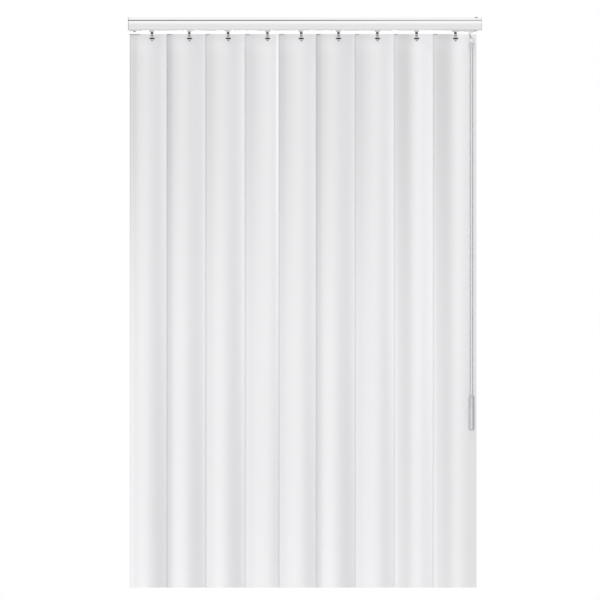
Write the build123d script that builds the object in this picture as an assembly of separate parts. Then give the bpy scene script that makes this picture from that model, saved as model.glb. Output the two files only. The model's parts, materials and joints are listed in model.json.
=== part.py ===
from build123d import *
import math
import os

# A vertical blind: a ceiling headrail with nine louvres that slide along it and turn together.
# X runs along the rail, to the right as seen from the room. Y runs from the room to the window.
# Z is up. The origin is the middle of the rail's top. All sizes are in millimetres.

# Headrail
rail_length = 700.0          # over both end caps
rail_depth = 40.0            # front to back
rail_height = 25.0
rail_wall = 1.4
channel_half = 9.0           # half width of the shallow channel along the top
channel_depth = 1.5
lip_height = 4.75            # clip lips along both top edges
lip_inset = 0.8              # how far the lips stand in from the faces
groove_height = 2.0          # groove under each lip
groove_depth = 3.2           # in from the rail's face
shoulder_radius = 1.9
corner_radius = 1.2
slot_half = 7.0              # half width of the slot in the rail's floor

# End caps and their fixings
cap_thickness = 2.0
plug_depth = 8.0
plug_clearance = 0.2
tongue_length = 15.0         # tongue of the right cap, under the rail's top
tongue_half = 6.0
tongue_thickness = 3.4
top_screw_inset = 11.6       # from the rail's right end
top_screw_head = 6.2         # radius of the domed head
top_screw_rise = 3.0         # height of the dome
top_screw_radius = 2.0
stop_inset = 3.0             # stack stop, from the rail's left end
stop_length = 13.0
stop_flange = 2.0            # thickness of its upper flange
stop_drop = 2.2              # how far it hangs below the rail
stop_screw_radius = 1.2
stop_screw_head = 2.0
fixing_clearance = 0.05      # round a screw, peg or glued end

# Louvres
vane_count = 9
vane_width = 89.0
vane_length = 1095.0
vane_thickness = 0.8
vane_radius = 247.5          # of the curve across a vane
rest_turn = 15.0             # degrees that each louvre stands turned, left edge to the room
inset_left = 47.2            # first hanger, from the rail's left end
inset_right = 52.4           # last hanger, from the rail's right end
gap_offsets = [-1.2, 1.8, 2.7, -8.2, -1.4, 1.9, 2.5, 1.9]   # pulled unevenly by hand

# Stack of carriers when the blind is drawn open
stack_inset = 24.0           # first carrier, from the rail's left end
stack_pitch = 13.0

# Carriers
carrier_length = 12.0
carrier_side_clearance = 0.4     # wings to the rail's sides
carrier_lift = 0.25              # wings to the rail's floor
wing_thickness = 2.0
boss_radius = 5.2
boss_drop = 2.1                  # below the rail
axis_height = 9.6                # tilt rod's axis, above the rail's floor inside
pocket_clearance = 0.4           # round pinions, worms and gears
running_clearance = 0.08         # round necks, journals and pins
seat_clearance = 0.1             # under a shoulder that turns on its seat
end_wall = 1.3                   # beside the worm pocket
block_wall = 1.4
mouth_half = 3.4                 # snap-in mouth of the worm's bearings

# Lead carrier
lead_reach = 38.5                # block, to the right of the last hanger
lead_plate_reach = 43.4          # plate under the rail
lead_plate_back = 7.0
lead_plate_half = 9.5
lead_plate_gap = 0.3             # under the rail
lead_plate_thickness = 2.4
stem_offset = 31.6               # wand's axis, to the right of the last hanger

# Tilt rod, worms and gears
rod_radius = 2.8
rod_grooves = 3
groove_width = 1.3
groove_cut = 0.9
key_clearance = 0.1
journal_radius = 2.4
worm_wall = 1.7                  # round the rod
collar_rise = 0.5
collar_width = 0.5
pinion_tip = 5.2
pinion_teeth = 12
tooth_height = 1.0
pinion_face = 6.0
gear_gap = 0.4                   # between the drive gear and the wand's gear
gear_teeth = 10
gear_face = 8.0
mesh_gap = 0.3

# Hangers
neck_radius = 4.0
stalk_radius = 2.5
stalk_drop = 3.6                 # below the neck
leaf_width = 4.6
leaf_thickness = 1.2
leaf_clearance = 0.3             # between a leaf and the vane
front_leaf_length = 15.0
back_leaf_length = 13.0
vane_drop = 32.5                 # top of the vanes, below the rail's top
slot_drop = 9.0                  # slot's middle, below the vane's top
slot_width = 12.0
slot_height = 3.0
nose_width = 10.0
nose_height = 2.6

# Spacer strips that space the carriers
strip_thickness = 0.2
strip_width = 6.0
strip_pitch = 0.42               # each strip runs this far under the one before
strip_top_gap = 0.56             # first strip, under the rail's top
strip_spare = 4.0                # free length beyond an even gap
strip_head = 8.0                 # width of the strip's head
strip_head_length = 3.0
strip_tail = 3.0                 # beyond the peg
strip_lane = -10.8               # middle of the strips' lane
post_gap = 0.3                   # each side of the strip
post_width = 0.9
post_length = 2.0
post_rise = 0.28                 # posts and pegs above the strip's underside
peg_radius = 0.9
riser_half = 2.0

# Wand
stem_radius = 3.0
hook_thickness = 2.2
hook_width = 3.0
hook_bow = 4.6                   # how far the hook bows out
hook_gap = 0.6                   # between the hook and the wand's eye
pin_radius = 1.5
pin_head = 1.9
pin_drop = 44.5                  # wand's pin, below the rail's top
eye_thickness = 3.2
eye_radius = 4.2
cap_radius = 5.0
cap_top = 5.2                    # round part of the cap, below the pin
cap_bottom = 15.5                # its lower end, below the pin
socket_depth = 8.0
wand_radius = 3.1
wand_length = 703.0              # lower end of the cap to the grip's shoulder, less both sockets
grip_radius = 5.4
grip_length = 70.5
grip_shoulder = 6.5
grip_socket = 14.0
grip_lip = 0.6                   # round the rod, at the grip's top

# Places worked out from the sizes above
half_length = rail_length / 2
half_depth = rail_depth / 2
inner_end = half_length - cap_thickness
floor_z = -rail_height + rail_wall
axis_z = floor_z + axis_height
lip_half = half_depth - lip_inset
shelf_half = half_depth - groove_depth - rail_wall
shelf_z = -lip_height - groove_height - rail_wall
side_half = half_depth - rail_wall
roof_z = -channel_depth - rail_wall
first_strip_z = roof_z - strip_top_gap - strip_thickness
last_strip_z = first_strip_z - strip_pitch * (vane_count - 2)
block_top = last_strip_z - post_gap
wing_half = side_half - carrier_side_clearance
wing_bottom = floor_z + carrier_lift
wing_top = wing_bottom + wing_thickness
boss_bottom = -rail_height - boss_drop
worm_core = rod_radius + worm_wall
collar_radius = worm_core + collar_rise
shaft_y = pinion_tip + worm_core + mesh_gap
gear_tip = (shaft_y - gear_gap) / 2
pinion_bottom = axis_z - pinion_face / 2
pinion_top = axis_z + pinion_face / 2
seat_z = pinion_bottom - seat_clearance
pinion_root = pinion_tip - tooth_height
gear_root = gear_tip - tooth_height
worm_journal = worm_core - 0.6
pocket_half = carrier_length / 2 - end_wall
block_front = -shelf_half + 2 * pocket_clearance
block_back = shelf_half - carrier_side_clearance
even_gap = (rail_length - inset_left - inset_right) / (vane_count - 1)
vane_top = -vane_drop
vane_slot_z = vane_top - slot_drop
plate_top = -rail_height - lead_plate_gap
plate_bottom = plate_top - lead_plate_thickness
pin_z = -pin_drop
cap_end_z = pin_z - cap_bottom
grip_top = cap_end_z - wand_length + 2 * socket_depth + 1.0


# The hangers' places along the rail at rest, and where the carriers stack.
def hanger_places():
    places = [-half_length + inset_left]
    for offset in gap_offsets:
        places.append(places[-1] + even_gap + offset)
    return places


def stack_places():
    return [-half_length + stack_inset + stack_pitch * i for i in range(vane_count)]


def strip_z(i):
    return first_strip_z - strip_pitch * i


def block(x0, x1, y0, y1, z0, z1):
    return Pos((x0 + x1) / 2, (y0 + y1) / 2, (z0 + z1) / 2) * Box(x1 - x0, y1 - y0, z1 - z0)


def post(radius, x, y, z0, z1):
    return Pos(x, y, (z0 + z1) / 2) * Cylinder(radius, z1 - z0)


def along_x(radius, x0, x1, y, z):
    return Pos((x0 + x1) / 2, y, z) * Rot(0, 90, 0) * Cylinder(radius, x1 - x0)


def along_y(radius, x, y0, y1, z):
    return Pos(x, (y0 + y1) / 2, z) * Rot(90, 0, 0) * Cylinder(radius, y1 - y0)


# Extrudes a face drawn in Y and Z along the rail, from x0 to x1.
def run(face, x0, x1):
    return Pos(x0, 0, 0) * extrude(Plane.YZ * face, x1 - x0)


def corners(face, y, z):
    return [v for v in face.vertices() if abs(abs(v.X) - y) < 0.01 and abs(v.Y - z) < 0.01]


# Right half of the rail's outline, down its outer side to the floor.
def outer_side():
    groove_floor = half_depth - groove_depth
    under_lip = -lip_height
    under_groove = -lip_height - groove_height
    return [
        (lip_half, 0),
        (lip_half, under_lip),
        (groove_floor, under_lip),
        (groove_floor, under_groove),
        (half_depth, under_groove),
        (half_depth, -rail_height),
    ]


# Makes both halves of a section from the right half, and rounds its shoulders and lower corners.
def section(points):
    half = make_face(Polyline(*points, close=True))
    whole = half + mirror(half, about=Plane.YZ)
    whole = fillet(corners(whole, half_depth, -lip_height - groove_height), shoulder_radius)
    return fillet(corners(whole, half_depth, -rail_height), corner_radius)


def make_headrail():
    pocket_y = channel_half + rail_wall
    inside = [
        (slot_half, -rail_height),
        (slot_half, floor_z),
        (side_half, floor_z),
        (side_half, shelf_z),
        (shelf_half, shelf_z),
        (shelf_half, -rail_wall),
        (pocket_y, -rail_wall),
        (pocket_y, roof_z),
        (0, roof_z),
    ]
    top = [(0, -channel_depth), (channel_half, -channel_depth), (channel_half, 0)]
    rail = run(section(top + outer_side() + inside), -inner_end, inner_end)
    hole = post(top_screw_radius + fixing_clearance, half_length - top_screw_inset, 0, roof_z - 1, 0)
    return rail - hole


# An end cap: the rail's outline as a plate, and a plug with the tilt rod's bearing.
def end_cap(side, plug_floor):
    plate = run(section([(0, 0)] + outer_side() + [(0, -rail_height)]), 0, cap_thickness)
    plate = fillet(plate.edges().filter_by(Axis.Z).group_by(Axis.X)[-1], 0.5)
    plug = block(-plug_depth, 0, plug_clearance - side_half, side_half - plug_clearance,
                 plug_floor, shelf_z - plug_clearance)
    plug = fillet(plug.edges().filter_by(Axis.Z).group_by(Axis.X)[0], 0.8)
    bearing = along_x(journal_radius + running_clearance, -plug_depth - 1, 0, shaft_y, axis_z)
    window = block(-plug_depth - 1, -rail_wall, -side_half + 3, shaft_y - 6,
                   plug_floor + rail_wall, shelf_z - 2 * rail_wall)
    cap = plate + (plug - bearing - window)
    if side < 0:
        cap = mirror(cap, about=Plane.YZ)
    return Pos(side * inner_end, 0, 0) * cap


def make_end_cap_left():
    return end_cap(-1, floor_z + stop_flange + 2 * plug_clearance)


def make_end_cap_right():
    top = roof_z - plug_clearance / 2
    tongue = block(inner_end - tongue_length, inner_end, -tongue_half, tongue_half,
                   top - tongue_thickness, top)
    hole = post(top_screw_radius + fixing_clearance, half_length - top_screw_inset, 0,
                top - tongue_thickness - 1, 0)
    return end_cap(1, floor_z + plug_clearance) + (tongue - hole)


# Domed screw that holds the right cap's tongue up against the rail.
def make_top_screw():
    x = half_length - top_screw_inset
    dome_radius = (top_screw_head ** 2 + top_screw_rise ** 2) / (2 * top_screw_rise)
    seat = -channel_depth
    centre = seat + top_screw_rise - dome_radius
    dome = Pos(x, 0, centre) * Sphere(dome_radius) & block(x - 9, x + 9, -9, 9, seat, seat + 9)
    slot = block(x - 9, x + 9, -0.5, 0.5, seat + top_screw_rise - 1.2, seat + 9)
    shank = post(top_screw_radius, x, 0, roof_z - tongue_thickness + 0.2, seat)
    return (dome - slot) + shank


# Small T-shaped stop in the floor's slot, where the carriers stack.
def make_stack_stop():
    x0 = -half_length + stop_inset
    x1 = x0 + stop_length
    upper = block(x0, x1, -slot_half - 3, slot_half + 3, floor_z, floor_z + stop_flange)
    web = block(x0, x1, plug_clearance - slot_half, slot_half - plug_clearance,
                -rail_height, floor_z)
    foot = block(x0, x1, -slot_half - 2, slot_half + 2, -rail_height - stop_drop, -rail_height)
    foot = fillet(foot.edges().filter_by(Axis.Z), 1.0)
    hole = post(stop_screw_radius + fixing_clearance, x1 - 3.5, 0, -rail_height - 9, floor_z + 9)
    return upper + web + foot - hole


def make_stop_screw():
    x = -half_length + stop_inset + stop_length - 3.5
    under = -rail_height - stop_drop
    head = post(stop_screw_head, x, 0, under - 1.0, under)
    head = fillet(head.edges().group_by(Axis.Z)[0], 0.4)
    slot = block(x - 9, x + 9, -0.3, 0.3, under - 1.5, under - 0.5)
    return head - slot + post(stop_screw_radius, x, 0, under, floor_z + stop_flange)


# Star-shaped section of the rod, and of the bores that ride on it when clearance is above zero.
def rod_section(clearance):
    face = Circle(rod_radius + clearance)
    for k in range(rod_grooves):
        middle = rod_radius + 1 - groove_cut + clearance
        groove = Pos(middle, 0) * Rectangle(2, groove_width - 2 * clearance)
        face -= Rot(0, 0, 90 + 360 / rod_grooves * k) * groove
    return face


def make_tilt_rod():
    plain = plug_depth + 2.0
    span = inner_end - plain
    rod = run(Pos(shaft_y, axis_z) * rod_section(0), -span, span)
    for side in (-1, 1):
        ends = sorted((side * span, side * (inner_end - 0.5)))
        rod += along_x(journal_radius, *ends, shaft_y, axis_z)
    return rod


# A toothed wheel's outline with straight-sided teeth.
def toothed(teeth, tip):
    root = tip - tooth_height
    step = 360 / teeth
    points = []
    for k in range(teeth):
        for radius, turn in ((root, -0.30), (tip, -0.15), (tip, 0.15), (root, 0.30)):
            angle = math.radians(step * (k + turn))
            points.append((radius * math.cos(angle), radius * math.sin(angle)))
    return make_face(Polyline(*points, close=True))


# Carries a worm's thread and turns with the rod.
def make_worm(x):
    end = carrier_length / 2 - 0.1
    inner = pocket_half - seat_clearance
    turned = along_x(worm_journal, x - end, x + end, shaft_y, axis_z)
    turned += along_x(worm_core, x - inner, x + inner, shaft_y, axis_z)
    for side in (-1, 1):
        a = x + side * inner
        b = a - side * collar_width
        turned += along_x(collar_radius, min(a, b), max(a, b), shaft_y, axis_z)
    return turned - run(Pos(shaft_y, axis_z) * rod_section(key_clearance), x - end - 1, x + end + 1)


def make_drive_gear(x):
    half = gear_face / 2
    wheel = run(Pos(shaft_y, axis_z) * toothed(gear_teeth, gear_tip), x - half, x + half)
    wheel += along_x(worm_journal, x - half - 1.2, x + half + 1.2, shaft_y, axis_z)
    return wheel - run(Pos(shaft_y, axis_z) * rod_section(key_clearance), x - 20, x + 20)


# Shared body of the carriers: a hollow block on two wings, with pockets for pinion and worm.
def carrier_body(x, reach):
    x0 = x - carrier_length / 2
    x1 = x + reach
    body = block(x0, x1, block_front, block_back, wing_top - 0.1, block_top)
    wings = block(x0, x1, -wing_half, wing_half, wing_bottom, wing_top)
    wings = fillet(wings.edges().filter_by(Axis.Z), 1.0)
    body += wings
    return body


# Cuts the seat of an upright pinion or gear, with the bore of its shaft below.
def upright_pocket(x, tip, shaft, bottom):
    pocket = post(tip + pocket_clearance, x, 0, seat_z, block_top + 1)
    return pocket + post(shaft + running_clearance, x, 0, bottom - 1, seat_z)


# Cuts a pocket on the rod's axis that is open to the back.
def rod_pocket(x0, x1, radius):
    pocket = along_x(radius, x0, x1, shaft_y, axis_z)
    return pocket + block(x0, x1, shaft_y, block_back + 1, axis_z - radius, axis_z + radius)


def bearing_mouth(x0, x1):
    hole = along_x(worm_journal + running_clearance, x0, x1, shaft_y, axis_z)
    return hole + block(x0, x1, shaft_y, block_back + 1, axis_z - mouth_half, axis_z + mouth_half)


def front_recess(x0, x1):
    back = -pinion_tip - pocket_clearance - block_wall
    return block(x0, x1, block_front - 1, back, wing_top + 0.2, block_top - block_wall)


# Posts that guide the strip from the carrier before, and the peg that holds this carrier's strip.
def strip_guides(i, x):
    guides = Part()
    half = post_length / 2
    if i > 0:
        near = strip_width / 2 + post_gap
        for a, b in ((near, near + post_width), (-near - post_width, -near)):
            guides += block(x - half, x + half, strip_lane + a, strip_lane + b,
                            block_top - 0.2, strip_z(i - 1) + post_rise)
    if i < vane_count - 1:
        guides += block(x - riser_half, x + riser_half, strip_lane - riser_half,
                        strip_lane + riser_half, block_top - 0.2, strip_z(i))
        guides += post(peg_radius, x, strip_lane, strip_z(i) - 0.1, strip_z(i) + post_rise)
    return guides


def make_carrier(i, x):
    body = carrier_body(x, carrier_length / 2) + post(boss_radius, x, 0, boss_bottom, wing_top)
    body -= upright_pocket(x, pinion_tip, neck_radius, boss_bottom)
    body -= rod_pocket(x - pocket_half, x + pocket_half, collar_radius + pocket_clearance)
    body -= bearing_mouth(x - carrier_length, x + carrier_length)
    body -= front_recess(x - pocket_half, x + pocket_half)
    return body + strip_guides(i, x)


# The lead carrier also holds the wand's gears, and has a plate under the rail.
def make_lead_carrier(i, x):
    body = carrier_body(x, lead_reach)
    web = slot_half - carrier_side_clearance
    body += block(x - carrier_length / 2, x + lead_reach, -web, web, plate_top - 0.1, wing_top)
    plate = block(x - lead_plate_back, x + lead_plate_reach, -lead_plate_half, lead_plate_half,
                  plate_bottom, plate_top)
    plate = fillet(plate.edges().filter_by(Axis.Z).group_by(Axis.X)[-1], 8.0)
    plate = fillet(plate.edges().filter_by(Axis.Z).group_by(Axis.X)[0], 2.0)
    plate = fillet(plate.edges().group_by(Axis.Z)[0], 0.8)
    body += plate
    stem_x = x + stem_offset
    gear_half = gear_face / 2 + seat_clearance
    body -= upright_pocket(x, pinion_tip, neck_radius, plate_bottom)
    body -= upright_pocket(stem_x, gear_tip, stem_radius, plate_bottom)
    body -= rod_pocket(x - pocket_half, x + pocket_half, collar_radius + pocket_clearance)
    body -= rod_pocket(stem_x - gear_half, stem_x + gear_half, gear_tip + pocket_clearance)
    body -= bearing_mouth(x - carrier_length, x + lead_reach + 1)
    body -= front_recess(x - pocket_half, x + pocket_half)
    body -= front_recess(x + pocket_half + block_wall, x + lead_reach - block_wall)
    return body + strip_guides(i, x)


# Leaf of the clip that holds a vane, rounded at its lower end.
def leaf(y0, y1, length, top):
    half = leaf_width / 2
    plate = block(-half, half, y0, y1, top - length, top)
    return fillet(plate.edges().filter_by(Axis.Y).group_by(Axis.Z)[0], half - 0.3)


def make_hanger(x):
    wheel = Pos(0, 0, pinion_bottom) * extrude(toothed(pinion_teeth, pinion_tip), pinion_face)
    neck_bottom = plate_bottom - 0.3
    stalk_bottom = neck_bottom - stalk_drop
    hanger = wheel + post(neck_radius, 0, 0, neck_bottom, pinion_bottom)
    hanger += post(pinion_root - 1, 0, 0, pinion_top, pinion_top + 0.8)
    hanger += post(stalk_radius, 0, 0, stalk_bottom, neck_bottom)
    inner = vane_thickness / 2 + leaf_clearance
    outer = inner + leaf_thickness
    half = leaf_width / 2
    hanger += block(-half, half, -outer, outer, vane_top + leaf_clearance, stalk_bottom + 0.6)
    top = vane_top + 1
    hanger += leaf(-outer, -inner, front_leaf_length, top)
    hanger += leaf(inner, outer, back_leaf_length, top)
    nose_top = vane_slot_z + slot_height / 2 - fixing_clearance
    hanger += block(-nose_width / 2, nose_width / 2, -outer, inner - 0.05,
                    nose_top - nose_height, nose_top)
    return Pos(x, 0, 0) * Rot(0, 0, rest_turn) * hanger


# A louvre of PVC, curved across with its middle towards the room.
def make_vane(x):
    outer = vane_radius + vane_thickness / 2
    inner = vane_radius - vane_thickness / 2
    turn = math.degrees(vane_width / 2 / vane_radius)
    curve = Pos(0, vane_radius) * (
        make_face(
            CenterArc((0, 0), outer, -90 - turn, 2 * turn)
            + CenterArc((0, 0), inner, -90 - turn, 2 * turn)
            + Line((0, 0) + Vector(PolarLine((0, 0), inner, -90 - turn) @ 1),
                   PolarLine((0, 0), outer, -90 - turn) @ 1)
            + Line(PolarLine((0, 0), inner, -90 + turn) @ 1,
                   PolarLine((0, 0), outer, -90 + turn) @ 1)
        )
    )
    sheet = Pos(0, 0, vane_top - vane_length) * extrude(curve, vane_length)
    hole = extrude(Plane.XZ * Pos(0, vane_slot_z) * SlotOverall(slot_width, slot_height), 5, both=True)
    return Pos(x, 0, 0) * Rot(0, 0, rest_turn) * (sheet - hole)


# Thin steel strip from one carrier's peg to beyond the posts of the next.
def make_spacer(i, x):
    reach = even_gap + strip_spare
    z = strip_z(i)
    strip = block(x - strip_tail, x + reach + 0.1, strip_lane - strip_width / 2,
                  strip_lane + strip_width / 2, z, z + strip_thickness)
    head = block(x + reach, x + reach + strip_head_length, strip_lane - strip_head / 2,
                 strip_lane + strip_head / 2, z, z + strip_thickness)
    hole = post(peg_radius + fixing_clearance, x, strip_lane, z - 1, z + 1)
    return strip + head - hole


# Gear, shaft, bowed hook and pin that carry the wand.
def make_wand_stem(x):
    wheel = Pos(0, 0, pinion_bottom) * extrude(toothed(gear_teeth, gear_tip), pinion_face)
    shaft_end = plate_bottom - 1.0
    stem = wheel + post(stem_radius, 0, 0, shaft_end, pinion_bottom)
    stem += post(gear_root - 1, 0, 0, pinion_top, pinion_top + 0.8)
    y0 = eye_thickness / 2 + hook_gap
    y1 = y0 + hook_thickness
    shoulder_z = shaft_end - 2.0
    side = stem_radius - hook_gap
    shoulder = block(-hook_bow - hook_width / 2, side, -side, y1, shoulder_z, shaft_end)
    stem += fillet(shoulder.edges().filter_by(Axis.Z), 0.8)
    band = trace(Line((-hook_bow, shoulder_z + 1.0), (0, pin_z)), hook_width)
    hook = extrude(Plane.XZ * band, -y1) - block(-20, 20, -1, y0, pin_z - 20, shaft_end)
    stem += hook
    stem += along_y(eye_radius - 1.6, 0, y0, y1, pin_z)
    front = -eye_thickness / 2 - 0.3
    stem += along_y(pin_radius, 0, front - 0.1, y0 + 0.1, pin_z)
    stem += along_y(pin_head, 0, front - 0.8, front, pin_z)
    return Pos(x, 0, 0) * stem


# Moulded cap on the wand's top, with an eye that hangs on the pin.
def make_wand_cap(x):
    half = eye_thickness / 2
    eye = along_y(eye_radius, 0, -half, half, pin_z)
    eye += block(-eye_radius, eye_radius, -half, half, pin_z - cap_top - 0.5, pin_z)
    eye -= along_y(pin_radius + running_clearance, 0, -9, 9, pin_z)
    body = post(cap_radius, 0, 0, cap_end_z, pin_z - cap_top)
    body = fillet(body.edges().group_by(Axis.Z)[-1], 1.5)
    socket = post(wand_radius + fixing_clearance, 0, 0, cap_end_z - 1, cap_end_z + socket_depth)
    return Pos(x, 0, 0) * (eye + body - socket)


def make_wand_rod(x):
    rod = post(wand_radius, 0, 0, grip_top - grip_socket, cap_end_z + socket_depth - 0.1)
    return Pos(x, 0, 0) * chamfer(rod.edges().group_by(Axis.Z)[0], 0.4)


# Grip with a sloping shoulder, a rounded lower end and a socket for the rod.
def make_wand_grip(x):
    bottom = grip_top - grip_length
    rim = wand_radius + grip_lip
    outline = make_face(
        Polyline((0, bottom), (0, grip_top), (rim, grip_top), (grip_radius, grip_top - grip_shoulder),
                 (grip_radius, bottom), (0, bottom))
    )
    grip = revolve(Plane.XZ * outline, Axis.Z)
    grip = fillet(grip.edges().group_by(Axis.Z)[0], grip_radius * 0.6)
    socket = post(wand_radius + fixing_clearance, 0, 0, grip_top - grip_socket - 0.1, grip_top + 1)
    return Pos(x, 0, 0) * (grip - socket)


def make_all():
    places = hanger_places()
    wand_x = places[-1] + stem_offset
    parts = {
        "headrail": make_headrail(),
        "end_cap_left": make_end_cap_left(),
        "end_cap_right": make_end_cap_right(),
        "top_screw": make_top_screw(),
        "stack_stop": make_stack_stop(),
        "stop_screw": make_stop_screw(),
        "tilt_rod": make_tilt_rod(),
        "drive_gear": make_drive_gear(wand_x),
        "wand_stem": make_wand_stem(wand_x),
        "wand_cap": make_wand_cap(wand_x),
        "wand_rod": make_wand_rod(wand_x),
        "wand_grip": make_wand_grip(wand_x),
    }
    last = vane_count - 1
    for i, x in enumerate(places):
        make = make_lead_carrier if i == last else make_carrier
        parts[f"carrier_{i + 1}"] = make(i, x)
        parts[f"worm_{i + 1}"] = make_worm(x)
        parts[f"hanger_{i + 1}"] = make_hanger(x)
        parts[f"vane_{i + 1}"] = make_vane(x)
        if i < last:
            parts[f"spacer_{i + 1}"] = make_spacer(i, x)
    return parts


os.makedirs("parts", exist_ok=True)
for name, part in make_all().items():
    export_step(part, f"parts/{name}.step")
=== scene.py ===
import json
import math

import bpy
from mathutils import Matrix, Vector


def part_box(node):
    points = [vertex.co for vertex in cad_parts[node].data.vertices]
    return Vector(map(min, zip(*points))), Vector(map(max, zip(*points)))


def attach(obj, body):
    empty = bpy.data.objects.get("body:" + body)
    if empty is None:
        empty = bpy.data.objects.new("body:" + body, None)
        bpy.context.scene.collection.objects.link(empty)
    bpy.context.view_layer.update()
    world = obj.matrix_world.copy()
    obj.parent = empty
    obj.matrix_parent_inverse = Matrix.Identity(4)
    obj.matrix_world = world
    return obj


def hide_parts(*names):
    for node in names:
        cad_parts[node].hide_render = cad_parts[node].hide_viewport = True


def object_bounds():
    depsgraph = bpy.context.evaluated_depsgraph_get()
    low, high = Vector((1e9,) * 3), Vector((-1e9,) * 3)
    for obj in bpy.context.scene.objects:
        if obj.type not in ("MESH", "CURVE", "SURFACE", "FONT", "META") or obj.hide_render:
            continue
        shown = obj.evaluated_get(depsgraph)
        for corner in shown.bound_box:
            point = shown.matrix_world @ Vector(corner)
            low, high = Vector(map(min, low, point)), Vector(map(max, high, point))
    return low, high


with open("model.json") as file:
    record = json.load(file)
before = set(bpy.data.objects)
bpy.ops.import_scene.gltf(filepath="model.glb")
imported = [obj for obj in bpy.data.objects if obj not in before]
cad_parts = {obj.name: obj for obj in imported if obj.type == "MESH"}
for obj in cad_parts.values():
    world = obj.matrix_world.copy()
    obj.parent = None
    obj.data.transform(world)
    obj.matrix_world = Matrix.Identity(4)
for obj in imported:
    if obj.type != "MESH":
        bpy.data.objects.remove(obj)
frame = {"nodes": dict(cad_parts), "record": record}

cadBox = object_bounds()
mm = 0.001

joints = {joint["name"]: joint for joint in frame["record"]["behaviour"]["joints"]}
vaneCount = sum(name.startswith("vane_") for name in frame["nodes"])
vaneNumbers = range(1, vaneCount + 1)
restTurn = math.radians(180 - joints["tilt"]["range_deg"][1]) / 2  # each louvre's turn at rest


def hangerPlace(number):
    name = "tilt" if number == vaneCount else f"tilt_{number}"
    return Vector(joints[name]["pos_m"])


# A flat vector one unit long at an angle.
def direction(angle):
    return Vector((math.cos(angle), math.sin(angle)))


# A shader value that can be added, multiplied and so on like a number.
class Wire:
    def __init__(self, nodes, socket):
        self.nodes = nodes
        self.socket = socket

    def maths(self, operation, *values):
        inputs = dict(enumerate(values or (self,)))
        return self.nodes.node("ShaderNodeMath", {"operation": operation}, inputs)

    def __add__(self, other):
        return self.maths("ADD", self, other)

    def __sub__(self, other):
        return self.maths("SUBTRACT", self, other)

    def __rsub__(self, other):
        return self.maths("SUBTRACT", other, self)

    def __mul__(self, other):
        return self.maths("MULTIPLY", self, other)

    __radd__ = __add__
    __rmul__ = __mul__

    # 1 between low and high, 0 outside, with soft sides
    def band(self, low, high, soft):
        return self.ramp(low - soft, low + soft) * (1 - self.ramp(high - soft, high + soft))

    # rises from 0 to 1 between low and high
    def ramp(self, low, high):
        inputs = {"Value": self, "From Min": low, "From Max": high, "To Min": 0.0, "To Max": 1.0}
        settings = {"interpolation_type": "SMOOTHSTEP"}
        return self.nodes.node("ShaderNodeMapRange", settings, inputs, "Result")


# The nodes of one material or of the world.
class Nodes:
    def __init__(self, tree):
        self.tree = tree

    def feed(self, socket, value):
        if isinstance(value, Wire):
            self.tree.links.new(value.socket, socket)
        else:
            socket.default_value = value

    # adds a node; its settings come first, because some of them change its sockets
    def node(self, kind, settings=None, inputs=None, output=0):
        made = self.tree.nodes.new(kind)
        for setting, value in (settings or {}).items():
            if setting == "stops":
                fillRamp(made.color_ramp, value)
            else:
                setattr(made, setting, value)
        for socket, value in (inputs or {}).items():
            self.feed(made.inputs[socket], value)
        return Wire(self, made.outputs[output]) if made.outputs else None


# One material: a Principled shader and whatever feeds it.
class Finish(Nodes):
    def __init__(self, name, **values):
        self.material = bpy.data.materials.new(name)
        self.material.use_nodes = True
        super().__init__(self.material.node_tree)
        self.shader = self.tree.nodes["Principled BSDF"]
        for socket, value in values.items():
            self.set(socket.replace("_", " "), value)

    def set(self, socket, value):
        self.feed(self.shader.inputs[socket], value)

    # a value that the mesh carries
    def carried(self, name):
        return self.node("ShaderNodeAttribute", {"attribute_name": name}, output="Fac")

    # a grey from one tone, or a cooler or warmer one if blue has its own
    def tone(self, value, blue=None):
        inputs = {0: value, 1: value, 2: value if blue is None else blue}
        return self.node("ShaderNodeCombineColor", inputs=inputs)

    # where a point lies along an axis, in metres
    def place(self, axis):
        where = self.node("ShaderNodeTexCoord", output="Object")
        return self.node("ShaderNodeSeparateXYZ", inputs={0: where}, output=axis)

    # how far the surface faces along an axis, from -1 to 1
    def facing(self, axis):
        normal = self.node("ShaderNodeTexCoord", output="Normal")
        return self.node("ShaderNodeSeparateXYZ", inputs={0: normal}, output=axis)

    # object coordinates stretched by three scales
    def stretched(self, scale):
        where = self.node("ShaderNodeTexCoord", output="Object")
        return self.node("ShaderNodeMapping", inputs={"Vector": where, "Scale": scale})

    def noise(self, scale, stretch=(1, 1, 1), detail=3.0):
        inputs = {"Vector": self.stretched(stretch), "Scale": scale, "Detail": detail}
        return self.node("ShaderNodeTexNoise", inputs=inputs, output="Fac")

    def curve(self, value, stops):
        return self.node("ShaderNodeValToRGB", {"stops": stops}, {0: value})

    def blend(self, amount, first, second, kind="MIX"):
        settings = {"data_type": "RGBA", "blend_type": kind}
        return self.node("ShaderNodeMix", settings, {0: amount, 6: first, 7: second}, 2)

    def bump(self, height, strength, distance):
        inputs = {"Strength": strength, "Distance": distance, "Height": height}
        self.set("Normal", self.node("ShaderNodeBump", inputs=inputs))


# Gives a colour ramp its stops, joined by a smooth curve.
def fillRamp(ramp, stops):
    while len(ramp.elements) > 1:
        ramp.elements.remove(ramp.elements[0])
    for number, (place, colour) in enumerate(stops):
        stop = ramp.elements[0] if number == 0 else ramp.elements.new(place)
        stop.position = place
        stop.color = colour
    ramp.interpolation = "CARDINAL"


# A grey that leans to blue by tint.
def grey(value, tint=0.0):
    return (value - tint / 2, value - tint / 2, value + tint, 1.0)


# Gives a CAD node a finish in place of its own.
def dress(node, finish):
    thing = frame["nodes"][node]
    thing.data.materials.clear()
    thing.data.materials.append(finish.material)


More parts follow.
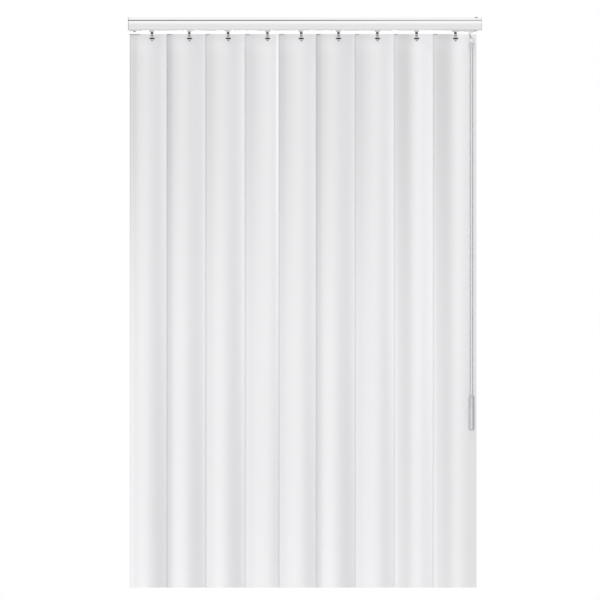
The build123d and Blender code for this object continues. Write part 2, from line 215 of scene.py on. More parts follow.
# Makes a mesh piece that rides on a body and takes a slot's finish.
def addPiece(name, points, faces, finish, body, sharp=35):
    mesh = bpy.data.meshes.new(name)
    mesh.from_pydata([tuple(p) for p in points], [], faces)
    mesh.update()
    mesh.shade_smooth()
    mesh.set_sharp_from_angle(angle=math.radians(sharp))
    mesh.materials.append(finish.material)
    piece = bpy.data.objects.new(name, mesh)
    bpy.context.scene.collection.objects.link(piece)
    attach(piece, body)
    return piece


# Gives each point, or each face, a value that a finish can read back.
def carry(piece, name, values, domain="POINT"):
    piece.data.attributes.new(name, "FLOAT", domain).data.foreach_set("value", values)


# Points and faces of a turned shape about a vertical axis, from (radius, height) pairs.
def turned(profile, centre, sides):
    points = []
    faces = []
    rows = []
    for radius, height in profile:
        if radius < 1e-6:
            rows.append([len(points)] * sides)
            points.append(Vector((centre.x, centre.y, height)))
            continue
        rows.append(list(range(len(points), len(points) + sides)))
        for k in range(sides):
            angle = 2 * math.pi * (k + 0.5) / sides
            points.append(Vector((centre.x + radius * math.cos(angle),
                                  centre.y + radius * math.sin(angle), height)))
    for low, high in zip(rows, rows[1:]):
        for k in range(sides):
            n = (k + 1) % sides
            face = []
            for corner in (low[k], low[n], high[n], high[k]):
                if corner not in face:
                    face.append(corner)
            if len(face) > 2:
                faces.append(face)
    return points, faces


louvre = {
    "width": 89.0,
    "curveRadius": 247.5,
    "thickness": 0.8,
    "slotWidth": 12.0,
    "slotHeight": 3.0,
    "slotDrop": 9.0,  # slot's middle, below the louvre's top
    "slotCell": 2.4,  # size of the net's cells round the slot
    "slotCells": (4, 2),  # how many of them, sideways and up, from the slot's middle
    "columns": 34,
    "rows": 30,
    "sideStrips": (0.4, 1.2),  # narrow columns that keep the long edges crisp
    "endStrip": 0.5,
    # one value for each louvre, from left to right
    "sheens": ("narrow", "narrow", "narrow", "broad", "broad", "narrow", "broad", "bent", "bent"),
    "spread": (0.98, 1.0, 1.0, 1.12, 0.98, 1.03, 1.02, 0.97, 1.06),  # of the painted sheen bands
    "edgeShade": (-0.09, 0.13, 0.0, 0.01, 0.04, 0.14, 0.01, -0.01, 0.0),  # along the left edge
    "leftShade": (0.09, -0.01, 0.0, -0.01, 0.01, -0.04, -0.01, 0.0, 0.0),  # more, towards the top
    "rightLift": (0.045, -0.02, 0.01, 0.25, 0.0, -0.02, 0.01, 0.0, 0.0),  # painted light where the next louvre overlaps
    "dash": (0.24, 0.1, 0.09, 0.1, 0.11, 0.1, 0.09, 0.08, 0.1),  # how far the painted shade on the top edge's left end reaches
    # heights are in metres below the rail's top, and places across are shares of the width
    "edgeAcross": (0.03, 0.17),
    "leftAcross": (0.06, 0.2),
    "leftHeight": (-0.8, -0.1),
    "rightAcross": (0.66, 0.74),
    "rightHeight": (-0.9, -0.1),
    "rightFootShare": 0.2,  # how much of the painted light is left at the foot
    "dashShade": 0.42,
    "dashHeight": (-0.0350, -0.0338),
    "upperShade": 0.19,
    "upperHeight": (-0.68, -0.05),
    "upperAcross": (-0.1, 0.75),
    "footShade": 0.09,
    "footHeight": (-1.15, -0.5),
    "footAcross": (0.25, 0.9),
    "rimShade": 0.10,
    "rimAcross": (0.004, 0.03),
    # painted light along the louvres' top, more towards their right part
    "topPaintedLight": 0.045,
    "topHeight": (-0.085, -0.035),
    "topRightPaintedLight": 0.07,
    "topRightHeight": (-0.07, -0.036),
    "topRightAcross": (0.45, 0.7),
    "cloudAmount": 0.012,
    "lineAmount": 0.006,
    "tint": 0.008,
}

# painted sheen and shade across a louvre from its left edge, the tones that satin PVC bent in a
# soft light shows
sheenBands = {
    "narrow": ((0.0, 0.78), (0.05, 0.8), (0.12, 0.805), (0.2, 0.845), (0.3, 0.862), (0.4, 0.84),
               (0.5, 0.79), (0.6, 0.755), (0.7, 0.75), (0.79, 0.775), (0.88, 0.83), (1.0, 0.8)),
    "broad": ((0.0, 0.79), (0.05, 0.812), (0.12, 0.8), (0.2, 0.83), (0.3, 0.848), (0.4, 0.862),
              (0.5, 0.845), (0.6, 0.803), (0.7, 0.785), (0.8, 0.812), (0.9, 0.84), (1.0, 0.8)),
    "bent": ((0.0, 0.845), (0.05, 0.82), (0.1, 0.775), (0.18, 0.752), (0.28, 0.742), (0.36, 0.785),
             (0.45, 0.86), (0.55, 0.895), (0.65, 0.868), (0.76, 0.85), (0.9, 0.86), (1.0, 0.82)),
}


def louvreFinish(sheen):
    finish = Finish(f"{sheen}SheenPvc", Roughness=0.5, Specular_IOR_Level=0.3)
    stops = [(at, grey(tone, louvre["tint"])) for at, tone in sheenBands[sheen]]
    # painted sheen: bands of painted light and shade across the louvre
    white = finish.curve(finish.carried("bands"), stops)
    across = finish.carried("across")
    height = finish.place("Z")
    upper = height.ramp(*louvre["upperHeight"]) * (1 - across.ramp(*louvre["upperAcross"]))
    foot = (1 - height.ramp(*louvre["footHeight"])) * across.ramp(*louvre["footAcross"])
    rim = 1 - across.ramp(*louvre["rimAcross"])
    edge = finish.carried("edgeShade") * (1 - across.ramp(*louvre["edgeAcross"]))
    left = 1 - across.ramp(*louvre["leftAcross"])
    edge = edge + finish.carried("leftShade") * left * height.ramp(*louvre["leftHeight"])
    # painted light on the right part, where the next louvre overlaps in front
    low = louvre["rightFootShare"]
    paintedLift = finish.carried("rightLift") * across.ramp(*louvre["rightAcross"])
    paintedLift = paintedLift * (low + (1 - low) * height.ramp(*louvre["rightHeight"]))
    paintedLift = paintedLift * (1 - finish.facing("Y").ramp(-0.3, 0.3))  # only on the face in front at rest
    # painted shade: a dark dash along the top edge's left end
    dash = 1 - (across - finish.carried("dash")).ramp(-0.02, 0.01)
    dash = height.ramp(*louvre["dashHeight"]) * dash
    # painted light near the top, more on the right part
    top = height.ramp(*louvre["topHeight"])
    topRight = height.ramp(*louvre["topRightHeight"]) * across.ramp(*louvre["topRightAcross"])
    cloud = finish.noise(9, (1, 1, 0.25))
    drawnLines = finish.noise(900, (1, 1, 0.002))  # faint lines that the extruder's die leaves
    shade = 1.0 - louvre["upperShade"] * upper - louvre["footShade"] * foot
    shade = shade - louvre["rimShade"] * rim - edge - louvre["dashShade"] * dash
    shade = shade + paintedLift + louvre["topPaintedLight"] * top + louvre["topRightPaintedLight"] * topRight
    shade = shade + louvre["cloudAmount"] * (cloud - 0.5)
    shade = shade + louvre["lineAmount"] * (drawnLines - 0.5)
    finish.set("Base Color", finish.blend(1.0, white, finish.tone(shade), "MULTIPLY"))
    finish.set("Roughness", 0.46 + 0.1 * cloud)
    grain = finish.noise(1500, (1, 1, 0.6), 5.0)
    finish.bump(0.7 * drawnLines + 0.3 * grain, 0.12, 0.0002)
    return finish


# Spreads count points evenly round a closed outline, starting at its first point.
def spaced(outline, count):
    ends = outline[1:] + outline[:1]
    lengths = [(b - a).length for a, b in zip(outline, ends)]
    step = sum(lengths) / count
    found = []
    side = 0
    passed = 0.0
    for number in range(count):
        target = number * step
        while passed + lengths[side] < target - 1e-9:
            passed += lengths[side]
            side += 1
        share = (target - passed) / lengths[side]
        found.append(outline[side].lerp(ends[side], share))
    return found


# The slot's round-ended outline, starting at its right end.
def slotOutline(middle):
    half = louvre["slotHeight"] / 2
    reach = louvre["slotWidth"] / 2 - half
    outline = []
    for side in (1, -1):
        centre = Vector((side * reach, middle))
        for k in range(13):
            angle = math.pi * (k / 12 - 0.5) + (0 if side > 0 else math.pi)
            outline.append(centre + half * direction(angle))
    first = 6
    return outline[first:] + outline[:first]


# A flat net of points and faces for one louvre, in millimetres across and up, with its slot.
def louvreNet(top, bottom):
    half = louvre["width"] / 2
    middle = top - louvre["slotDrop"]
    cell = louvre["slotCell"]
    sideways, up = louvre["slotCells"]
    patchU = [cell * k for k in range(-sideways, sideways + 1)]
    patchZ = [middle + cell * k for k in range(-up, up + 1)]
    columns = set(patchU)
    for k in range(louvre["columns"] + 1):
        u = -half + louvre["width"] * k / louvre["columns"]
        if abs(u) > patchU[-1] + 1.0:
            columns.add(u)
    for strip in louvre["sideStrips"]:
        columns.update((strip - half, half - strip))
    end = louvre["endStrip"]
    rows = {top, top - end, bottom, bottom + end, *patchZ}
    tall = patchZ[0] - 2 - bottom
    rows.update(bottom + tall * k / louvre["rows"] for k in range(louvre["rows"] + 1))
    columns = sorted(columns)
    rows = sorted(rows)
    points = [Vector((u, z)) for z in rows for u in columns]
    wide = len(columns)
    left, right = columns.index(patchU[0]), columns.index(patchU[-1])
    low, high = rows.index(patchZ[0]), rows.index(patchZ[-1])
    faces = []
    for r in range(len(rows) - 1):
        for c in range(wide - 1):
            if left <= c < right and low <= r < high:
                continue
            a = r * wide + c
            faces.append((a, a + 1, a + wide + 1, a + wide))
    # once round the open patch from its right side's middle, then two loops in to the slot
    level = (high - low) // 2 + low
    walk = [(right, r) for r in range(level, high)] + [(c, high) for c in range(right, left, -1)]
    walk += [(left, r) for r in range(high, low, -1)] + [(c, low) for c in range(left, right)]
    walk += [(right, r) for r in range(low, level)]
    outer = [r * wide + c for c, r in walk]
    inner = spaced(slotOutline(middle), len(outer))
    between = [points[a].lerp(b, 0.6) for a, b in zip(outer, inner)]
    for loop in (between, inner):
        start = len(points)
        points += loop
        now = list(range(start, start + len(loop)))
        for k in range(len(loop)):
            n = (k + 1) % len(loop)
            faces.append((outer[k], now[k], now[n], outer[n]))
        outer = now
    return points, faces


# A louvre bent to its curve, as two skins joined round the edges and the slot.
def addLouvre(number, finish):
    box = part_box(f"vane_{number}")
    top, bottom = box[1][2] / mm, box[0][2] / mm
    net, faces = louvreNet(top, bottom)
    radius = louvre["curveRadius"]
    half = louvre["thickness"] / 2
    place = hangerPlace(number)
    turn = Matrix.Translation((place.x, place.y, 0)) @ Matrix.Rotation(restTurn, 4, "Z")
    points = []
    for side in (1, -1):
        for u, z in net:
            angle = u / radius
            reach = radius + side * half
            at = Vector((reach * math.sin(angle), radius - reach * math.cos(angle), z))
            points.append(turn @ (at * mm))
    count = len(net)
    solid = list(faces)
    solid += [tuple(a + count for a in reversed(face)) for face in faces]
    edges = dict.fromkeys(pair for face in faces for pair in zip(face, face[1:] + face[:1]))
    for a, b in edges:
        if (b, a) not in edges:
            solid.append((b, a, a + count, b + count))
    name = f"louvre_{number}"
    piece = addPiece(name, points, solid, finish, name, 40)
    across = [u / louvre["width"] + 0.5 for u, z in net] * 2
    carry(piece, "across", across)
    carry(piece, "bands", [share / louvre["spread"][number - 1] for share in across])
    for name in ("edgeShade", "leftShade", "rightLift", "dash"):
        carry(piece, name, [louvre[name][number - 1]] * len(across))
    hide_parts(f"vane_{number}")


pvc = {sheen: louvreFinish(sheen) for sheen in sheenBands}
for number in vaneNumbers:
    addLouvre(number, pvc[louvre["sheens"][number - 1]])
print("louvres made")

rail = {
    # tones of painted shade and highlight down the rail's front: lip, groove, shoulder and face
    "lip": 0.73,
    "lipFoot": 0.80,
    "lipHeight": 4.75,
    "grooveHeight": 2.0,
    "grooveLeft": 0.10,
    "grooveRight": 0.39,
    "shoulder": 0.98,
    "faceTop": 0.775,
    "faceMiddle": 0.632,
    "faceFoot": 0.62,
    "leftEndShade": 0.4,
    "rightEndShade": 0.18,
    "screwShade": 0.97,
    # heights, depths and lengths where a tone starts and ends, in metres
    "lipRise": (-0.003, -0.001),
    "grooveRun": (-0.1, 0.36),
    "faceMiddleRise": (-0.024, -0.015),
    "faceTopRise": (-0.0155, -0.009),
    "shoulderDrop": (0.0024, 0.0001),  # below the groove
    "endReach": (0.3478, 0.3486),
    "screwReach": (-0.0024, 0.0032),  # either side of the screw's middle
    "screwRise": (-0.0012, -0.0008),
    "frontLip": (-0.0125, -0.0115),
    "speckleAmount": 0.012,
    "tint": 0.008,
}
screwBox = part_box("top_screw")
screwMiddle = (screwBox[0][0] + screwBox[1][0]) / 2


# White paint with painted shade and highlight along the rail's section: shade on the lip's top edge
# and in the groove, a highlight on the shoulder and a face that darkens downwards, so the lip and
# groove read along its length.
def railFinish(name, endShade=0.0):
    finish = Finish(name, Roughness=0.36, Specular_IOR_Level=0.4)
    height = finish.place("Z")
    along = finish.place("X")
    lipFoot = -rail["lipHeight"] * mm
    grooveFoot = lipFoot - rail["grooveHeight"] * mm
    low, high = [grooveFoot - drop for drop in rail["shoulderDrop"]]
    groove = height.band(grooveFoot, lipFoot, 0.00015)
    # painted highlight on the rounded shoulder below the groove
    shoulder = height.band(low, high, 0.0003)
    # painted shade: the face darkens towards its foot
    middle = height.ramp(*rail["faceMiddleRise"])
    faceTone = rail["faceFoot"] + (rail["faceMiddle"] - rail["faceFoot"]) * middle
    top = height.ramp(*rail["faceTopRise"])
    faceTone = faceTone + (rail["faceTop"] - rail["faceMiddle"]) * top
    lipTone = rail["lipFoot"] + (rail["lip"] - rail["lipFoot"]) * height.ramp(*rail["lipRise"])
    # painted shade in the groove, deeper towards the left end
    run = along.ramp(*rail["grooveRun"])
    grooveTone = rail["grooveLeft"] + (rail["grooveRight"] - rail["grooveLeft"]) * run
    isLip = height.ramp(lipFoot - 0.0001, lipFoot + 0.0001)
    tone = faceTone * (1 - isLip) + lipTone * isLip
    tone = tone * (1 - shoulder) + rail["shoulder"] * shoulder
    tone = tone * (1 - groove) + grooveTone * groove
    if endShade:
        end = along.maths("ABSOLUTE").ramp(*rail["endReach"])
        isFront = finish.facing("Y").maths("ABSOLUTE").ramp(0.4, 0.6)
        tone = tone * (1 - endShade * isFront * end)
        grain = (1, 1, 1)
    else:  # the dark screw shades the front lip's upper edge
        left, right = [screwMiddle + reach for reach in rail["screwReach"]]
        spot = along.band(left, right, 0.0012) * height.ramp(*rail["screwRise"])
        spot = spot * (1 - finish.place("Y").ramp(*rail["frontLip"]))
        tone = tone * (1 - rail["screwShade"] * spot)
        grain = (0.05, 1, 1)
    speckle = finish.noise(600, (1, 1, 1), 4.0)
    tone = tone + rail["speckleAmount"] * (speckle - 0.5)
    finish.set("Base Color", finish.tone(tone, tone + rail["tint"]))
    finish.set("Roughness", 0.3 + 0.12 * speckle)
    finish.bump(finish.noise(1400, grain), 0.1, 0.0002)
    return finish


dress("headrail", railFinish("painted_rail"))
for side in ("left", "right"):
    dress(f"end_cap_{side}", railFinish(f"{side}_cap", rail[f"{side}EndShade"]))
print("rail dressed")

small = {
    "screwBlack": 0.018,
    "stopGrey": 0.56,
    "carrierWhite": 0.82,
    "leadPlateTone": 0.66,
    "leadPlateTop": (-0.0252, -0.0248),  # height where the lead carrier's grey plate starts
    "strip": 0.55,
    "rodBright": 0.78,
    "wormCream": 0.74,
    "metalTint": 0.01,
}


def mouldedFinish(name, value, roughness=0.38, tint=0.0, **values):
    finish = Finish(name, Roughness=roughness, **values)
    patch = finish.noise(260, (1, 1, 1), 4.0)
    first, second = grey(value * 0.95, tint), grey(value * 1.05, tint)
    finish.set("Base Color", finish.blend(patch, first, second))
    finish.set("Roughness", roughness - 0.06 + 0.12 * patch)
    finish.bump(finish.noise(3200, (1, 1, 1), 2.0), 0.08, 0.0001)
    return finish


def brushedFinish(name, value, stretch):
    finish = Finish(name, Metallic=1.0)
    lines = finish.noise(700, stretch, 5.0)
    tint = small["metalTint"]
    finish.set("Base Color", finish.blend(lines, grey(value * 0.85, tint), grey(value * 1.1, tint)))
    finish.set("Roughness", 0.24 + 0.2 * lines)
    finish.bump(lines, 0.15, 0.0001)
    return finish


# The lead carrier is white with a grey plate below.
def leadFinish():
    finish = Finish("lead_carrier", Roughness=0.4)
    plate = 1 - finish.place("Z").ramp(*small["leadPlateTop"])
    white, plateTone = small["carrierWhite"], small["leadPlateTone"]
    patch = finish.noise(260, (1, 1, 1), 4.0)
    tone = white + (plateTone - white) * plate + 0.03 * (patch - 0.5)
    finish.set("Base Color", finish.tone(tone))
    finish.set("Roughness", 0.34 + 0.12 * patch)
    finish.bump(finish.noise(3200, (1, 1, 1), 2.0), 0.08, 0.0001)
    return finish


blackZinc = mouldedFinish("dark_screw", small["screwBlack"], 0.35, 0.002, Metallic=0.6)
for node in ("top_screw", "stop_screw"):
    dress(node, blackZinc)
dress("stack_stop", mouldedFinish("grey_plastic", small["stopGrey"]))
dress("tilt_rod", brushedFinish("bare_aluminium", small["rodBright"], (0.01, 1, 1)))
worms = mouldedFinish("gear_plastic", small["wormCream"], 0.3)
dress("drive_gear", worms)
steel = brushedFinish("spring_steel", small["strip"], (0.02, 1, 1))
carriers = mouldedFinish("carrier_plastic", small["carrierWhite"], 0.36)
dress(f"carrier_{vaneCount}", leadFinish())
for number in vaneNumbers:
    dress(f"worm_{number}", worms)
    if number < vaneCount:
        dress(f"carrier_{number}", carriers)
        dress(f"spacer_{number}", steel)

thread = {
    "rootRadius": 4.4,
    "tipRadius": 5.35,
    "pitch": 2.487,
    "length": 7.8,
    "rootWidth": 1.5,
    "tipWidth": 0.7,
    "sunk": 0.3,  # how deep its root lies in the worm
    "stepsPerTurn": 30,
    "startHeight": 0.15,  # share of the tooth's height at both ends, which taper
}


# A worm's raised thread, wound round the rod's axis.
def addThread(number):
    centre = Vector(joints[f"screw_turn_{number}"]["pos_m"]) / mm
    turns = thread["length"] / thread["pitch"]
    steps = int(turns * thread["stepsPerTurn"])
    root, tip = thread["rootRadius"], thread["tipRadius"]
    foot = root - thread["sunk"]
    rootHalf, tipHalf = thread["rootWidth"] / 2, thread["tipWidth"] / 2
    start = thread["startHeight"]
    points = []
    for k in range(steps + 1):
        share = k / steps
        angle = 2 * math.pi * turns * share
        x = thread["length"] * (share - 0.5)
        grown = min(1.0, share * turns * 3, (1 - share) * turns * 3)
        crest = root + (tip - root) * (start + (1 - start) * grown)
        tooth = ((foot, -rootHalf), (crest, -tipHalf), (crest, tipHalf), (foot, rootHalf))
        for radius, offset in tooth:
            at = Vector((x + offset, radius * math.sin(-angle), radius * math.cos(angle)))
            points.append((centre + at) * mm)
    faces = [(3, 2, 1, 0), tuple(4 * steps + c for c in range(4))]
    for k in range(steps):
        for c in range(4):
            n = (c + 1) % 4
            faces.append((4 * k + c, 4 * k + n, 4 * k + 4 + n, 4 * k + 4 + c))
    addPiece(f"worm_thread_{number}", points, faces, worms, f"screw_{number}", 30)


for number in vaneNumbers:
    addThread(number)
print("rail's inside dressed")

hanger = {
    "headTone": 0.5,
    "neckTone": 0.03,
    "stalkShade": 0.16,
    "stalkLight": 0.62,
    "barTone": 0.02,
    "footLight": 0.66,
    "footTone": 0.24,
    # heights in metres
    "headFoot": (-0.0282, -0.0276),
    "neck": (-0.0326, -0.0279),
    "stalk": (-0.0366, -0.0350),
    "bar": (-0.0428, -0.0398),
    "lightBand": (-0.0446, -0.0430),
    "footTop": (-0.0450, -0.0444),
}


# Smoky plastic with painted shade and light where clear plastic would refract: shade at the stalk's
# left side, light at its right.
def hangerFinish():
    finish = Finish("smoke_plastic", Coat_Weight=0.2)
    height = finish.place("Z")
    # painted shade on the stalk's left side and painted light on its right
    side = finish.facing("X").ramp(-0.55, 0.45)
    tone = hanger["stalkShade"] + (hanger["stalkLight"] - hanger["stalkShade"]) * side
    # tones by height: painted shade at the neck, stalk, bar and foot, and a painted light band
    # above the foot
    spots = (
        (height.ramp(*hanger["headFoot"]), hanger["headTone"]),
        (height.band(*hanger["neck"], 0.0003), hanger["neckTone"]),
        (height.band(*hanger["stalk"], 0.0003), hanger["stalkShade"]),
        (height.band(*hanger["bar"], 0.0002), hanger["barTone"]),
        (height.band(*hanger["lightBand"], 0.0002), hanger["footLight"]),
        (1 - height.ramp(*hanger["footTop"]), hanger["footTone"]),
    )
    for mask, spotTone in spots:
        tone = tone * (1 - mask) + spotTone * mask
    swirl = finish.noise(300, (1, 1, 0.4), 3.0)
    tone = tone * (0.92 + 0.16 * swirl)
    finish.set("Base Color", finish.tone(tone, tone * 1.02))
    finish.set("Roughness", 0.26 + 0.1 * swirl)
    finish.bump(swirl, 0.05, 0.0001)
    return finish


smoke = hangerFinish()
for number in vaneNumbers:
    dress(f"hanger_{number}", smoke)
print("hangers dressed")

wand = {
    "hookGrey": 0.44,
    "hookTopTone": 0.78,
    "hookTopRise": (-0.0335, -0.0315),
    "pinHighlight": 0.9,
    "pinHeadDepth": (-0.0021, -0.0017),
    "pinHeadTop": (-0.0420, -0.0410),
    "flats": 8,
    "clearFlat": 0.72,
    "darkFlat": 0.62,
    "rodTint": 0.012,
    "rodSoft": 0.4,
    "capTone": 0.71,
    "capEdge": 0.95,
    "gripTone": 0.64,
    "gripLeft": 0.64,
    "gripRight": 0.46,
    "tint": 0.02,
    "eyeRadius": 4.2,
    "eyeThickness": 3.2,
    "capBore": 3.2,
    "capShoulder": 5.2,  # round part of the cap, below the pin
    "gripShoulder": 6.5,
    "gripCorner": 0.6,  # share of the radius
    "gripBore": 3.1,
    "gripLip": 0.6,
    "rings": 5,
    "ringPitch": 3.0,
    "ringDepth": 0.3,
    "ringRise": 4.0,  # from the last ring up to the shoulder
    "pinHole": 1.58,  # radius
}
swing = Vector(joints["wand_swing"]["pos_m"])


# Grey plastic, paler at the top, with a painted highlight on the pin's head in front.
def hookFinish():
    finish = Finish("grey_hook", Specular_IOR_Level=0.3)
    patch = finish.noise(300, (1, 1, 1), 3.0)
    height = finish.place("Z")
    # painted highlight on the pin's head, on its front face
    head = 1 - finish.place("Y").ramp(*wand["pinHeadDepth"])
    head = head * (1 - height.ramp(*wand["pinHeadTop"]))
    rise = height.ramp(*wand["hookTopRise"])
    tone = wand["hookGrey"] + (wand["hookTopTone"] - wand["hookGrey"]) * rise
    tone = tone * (0.95 + 0.1 * patch) * (1 - head) + wand["pinHighlight"] * head
    finish.set("Base Color", finish.tone(tone))
    finish.set("Roughness", 0.45 + 0.14 * patch)
    finish.bump(patch, 0.05, 0.0001)
    return finish


# Clear or frosted plastic with painted shade and light where its sides turn away to left and right.
def clearFinish(name, middle, left, right, clear):
    roughness = 0.3
    tint = wand["tint"]
    finish = Finish(name, Roughness=roughness, Transmission_Weight=clear, IOR=1.49)
    side = finish.facing("X")
    streak = finish.noise(500, (1, 1, 0.03), 3.0)
    # painted shade or light on the sides that turn to the right and to the left
    colour = finish.blend(side.ramp(0.4, 0.9), grey(middle, tint), grey(right, tint))
    colour = finish.blend((-1 * side).ramp(0.4, 0.9), colour, grey(left, tint))
    shade = finish.tone(0.97 + 0.06 * streak)
    finish.set("Base Color", finish.blend(1.0, colour, shade, "MULTIPLY"))
    finish.set("Roughness", roughness + 0.06 * streak)
    finish.bump(streak, 0.04, 0.0001)
    return finish


# Every other one of the rod's eight flats is painted darker, painted shade that stands in for how
# cut acrylic refracts at its slanted flats.
def rodFinish():
    finish = Finish("clear_plastic", Transmission_Weight=0.2, IOR=1.49)
    flat = finish.carried("flat")
    streak = finish.noise(400, (1, 1, 0.02), 3.0)
    amount = flat * (0.9 + 0.2 * streak)
    clear, dark = [grey(wand[f"{kind}Flat"], wand["rodTint"]) for kind in ("clear", "dark")]
    finish.set("Base Color", finish.blend(amount, clear, dark))
    finish.set("Roughness", 0.34 + 0.08 * streak)
    finish.bump(streak, 0.03, 0.0001)
    return finish


# Foot, top and radius of an upright round node.
def uprightSize(node):
    low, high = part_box(node)
    return low[2], high[2], (high[0] - low[0]) / 2


def addRod(finish):
    low, high, radius = uprightSize("wand_rod")
    soft = wand["rodSoft"] * mm
    profile = [(0, low), (radius - 2 * soft, low), (radius, low + soft)]
    profile += [(radius, low + (high - low) * k / 12) for k in range(1, 12)]
    profile += [(radius, high - soft), (radius - soft, high), (0, high)]
    points, faces = turned(profile, swing, wand["flats"])
    piece = addPiece("clear_wand", points, faces, finish, "wand", 30)
    values = []
    for face in piece.data.polygons:
        flat = round(math.atan2(face.normal.y, face.normal.x) / (2 * math.pi / wand["flats"]))
        isDark = flat % 2 and abs(face.normal.z) < 0.5
        values.append(1.0 if isDark else 0.0)
    carry(piece, "flat", values, "FACE")
    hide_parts("wand_rod")


# The handle: a round foot, shallow rings under a shoulder, and a lip round the rod.
def addGrip(finish):
    low, high, radius = uprightSize("wand_grip")
    bore, lip = wand["gripBore"] * mm, wand["gripLip"] * mm
    corner = wand["gripCorner"] * radius
    shoulder = high - wand["gripShoulder"] * mm
    profile = [(0, low)]
    for k in range(9):
        angle = math.pi / 2 * k / 8
        across = radius - corner + corner * math.sin(angle)
        profile.append((across, low + corner * (1 - math.cos(angle))))
    pitch, depth = wand["ringPitch"] * mm, wand["ringDepth"] * mm
    foot = shoulder - wand["ringRise"] * mm - pitch * wand["rings"]
    inner = radius - depth
    for k in range(wand["rings"]):
        profile += [(radius, foot), (inner, foot + 0.15 * pitch)]
        profile += [(inner, foot + 0.35 * pitch), (radius, foot + 0.5 * pitch)]
        foot += pitch
    profile += [(radius, shoulder), (inner, shoulder + 0.0008), (bore + lip, high - 0.0006)]
    profile += [(bore + lip / 2, high), (bore, high), (bore, high - 0.002), (0, high - 0.002)]
    points, faces = turned(profile, swing, 40)
    piece = addPiece("wand_handle", points, faces, finish, "wand", 32)
    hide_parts("wand_grip")


# Upright plate in X and Z round a hole, with soft edges; the outline starts at its right.
def eyePlate(outline, hole, half, soft):
    count = len(outline)
    inner = [hole * direction(2 * math.pi * k / count) for k in range(count)]
    edge = [corner - corner.normalized() * soft for corner in outline]
    rings = ((-half, inner), (-half, edge), (soft - half, outline))
    rings += ((half - soft, outline), (half, edge), (half, inner))
    points = [Vector((corner.x, y, corner.y)) for y, ring in rings for corner in ring]
    faces = []
    for a in range(len(rings)):
        b = (a + 1) % len(rings)
        for k in range(count):
            n = (k + 1) % count
            faces.append((a * count + k, a * count + n, b * count + n, b * count + k))
    return points, faces


# The cap: a round body under a flat eye that hangs on the pin.
def addCap(finish):
    low, _, radius = uprightSize("wand_cap")
    shoulder = swing.z - wand["capShoulder"] * mm
    soft, edge = 0.002, 0.0004
    profile = [(wand["capBore"] * mm, low), (radius - edge, low), (radius, low + edge)]
    profile.append((radius, shoulder - soft))
    centre = Vector((radius - soft, shoulder - soft))
    profile += [centre + soft * direction(math.pi / 16 * k) for k in range(1, 9)]
    profile.append((0, shoulder))
    points, faces = turned(profile, swing, 36)
    reach, root = wand["eyeRadius"] * mm, (wand["capShoulder"] + 0.4) * mm
    outline = [reach * direction(math.pi * k / 24) for k in range(25)]
    outline += [Vector((-reach, -root)), Vector((reach, -root))]
    hole, half = wand["pinHole"] * mm, wand["eyeThickness"] / 2 * mm
    eye, eyeFaces = eyePlate(spaced(outline, 48), hole, half, edge)
    start = len(points)
    points += [swing + corner for corner in eye]
    faces += [[start + corner for corner in face] for face in eyeFaces]
    piece = addPiece("wand_top", points, faces, finish, "wand", 35)
    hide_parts("wand_cap")


dress("wand_stem", hookFinish())
addRod(rodFinish())
gripTones = [wand[f"grip{part}"] for part in ("Tone", "Left", "Right")]
addGrip(clearFinish("grip_plastic", *gripTones, 0.1))
addCap(clearFinish("cap_clear", wand["capTone"], wand["capEdge"], wand["capEdge"], 0.2))
print("wand made")

studio = {
    "skyForLight": 0.42,
    "floorDrop": 0.07,  # under the louvres
    "floorSize": (1.5, 1.1),
    "floorTone": 0.86,
    "cameraDistance": 24.0,
    "viewHeight": -0.5585,
    "viewAcross": -0.0099,
    "viewWidth": 1.187,
    "sensor": 36.0,
    # each soft light's place, aim, size and power
    "lights": {
        "front": ((0.0, -9.0, -0.75), (0, 0, -0.65), (2.6, 2.6), 420),
        "behind": ((0.0, 7.0, 0.3), (0, 0, -0.6), (2.6, 2.6), 200),
        "above": ((0.2, -1.6, 2.2), (0, 0, -0.1), (1.6, 1.0), 12),
        "left": ((-6.0, 4.5, -0.3), (0, 0, -0.4), (2.0, 2.0), 55),
        "right": ((6.0, 4.5, -0.3), (0, 0, -0.4), (2.0, 2.0), 55),
    },
}


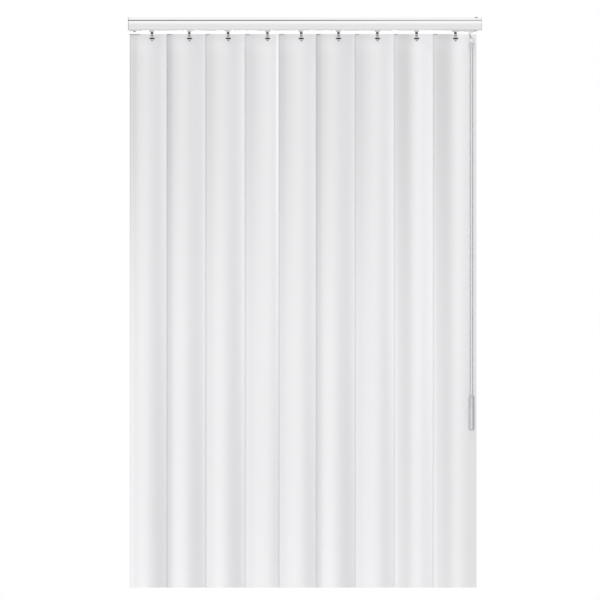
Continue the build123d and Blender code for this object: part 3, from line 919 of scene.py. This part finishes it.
# White to the camera, and a dimmer white as a light.
def addWorld():
    world = bpy.data.worlds.new("studio")
    world.use_nodes = True
    world.node_tree.nodes.clear()
    bpy.context.scene.world = world
    nodes = Nodes(world.node_tree)
    isSeen = nodes.node("ShaderNodeLightPath", output="Is Camera Ray")
    skies = {0: isSeen}
    for place, strength in enumerate((studio["skyForLight"], 1.0)):
        sky = {"Color": (1, 1, 1, 1), "Strength": strength}
        skies[place + 1] = nodes.node("ShaderNodeBackground", inputs=sky)
    both = nodes.node("ShaderNodeMixShader", inputs=skies)
    nodes.node("ShaderNodeOutputWorld", inputs={"Surface": both})


def addSoftLight(name, place, aim, size, power):
    data = bpy.data.lights.new(name, "AREA")
    data.shape = "RECTANGLE"
    data.size, data.size_y = size
    data.energy = power
    lamp = bpy.data.objects.new(name, data)
    lamp.location = place
    lamp.rotation_euler = (Vector(aim) - Vector(place)).to_track_quat("-Z", "Y").to_euler()
    bpy.context.scene.collection.objects.link(lamp)


def addFloor():
    wide, deep = studio["floorSize"]
    z = cadBox[0][2] - studio["floorDrop"]
    signs = ((-1, -1), (1, -1), (1, 1), (-1, 1))
    corners = [(x * wide / 2, y * deep / 2, z) for x, y in signs]
    mesh = bpy.data.meshes.new("floor")
    mesh.from_pydata(corners, [], [(0, 1, 2, 3)])
    finish = Finish("floor", Roughness=0.8)
    finish.set("Base Color", grey(studio["floorTone"]))
    mesh.materials.append(finish.material)
    floor = bpy.data.objects.new("floor", mesh)
    bpy.context.scene.collection.objects.link(floor)


def addCamera():
    data = bpy.data.cameras.new("camera")
    data.sensor_width = studio["sensor"]
    data.lens = studio["sensor"] * studio["cameraDistance"] / studio["viewWidth"]
    data.clip_end = 100
    camera = bpy.data.objects.new("camera", data)
    camera.location = (studio["viewAcross"], -studio["cameraDistance"], studio["viewHeight"])
    camera.rotation_euler = (math.pi / 2, 0, 0)
    bpy.context.scene.collection.objects.link(camera)
    bpy.context.scene.camera = camera


addWorld()
for name, light in studio["lights"].items():
    addSoftLight(name, *light)
addFloor()
addCamera()
bpy.context.scene.view_settings.view_transform = "Standard"
print("studio made")
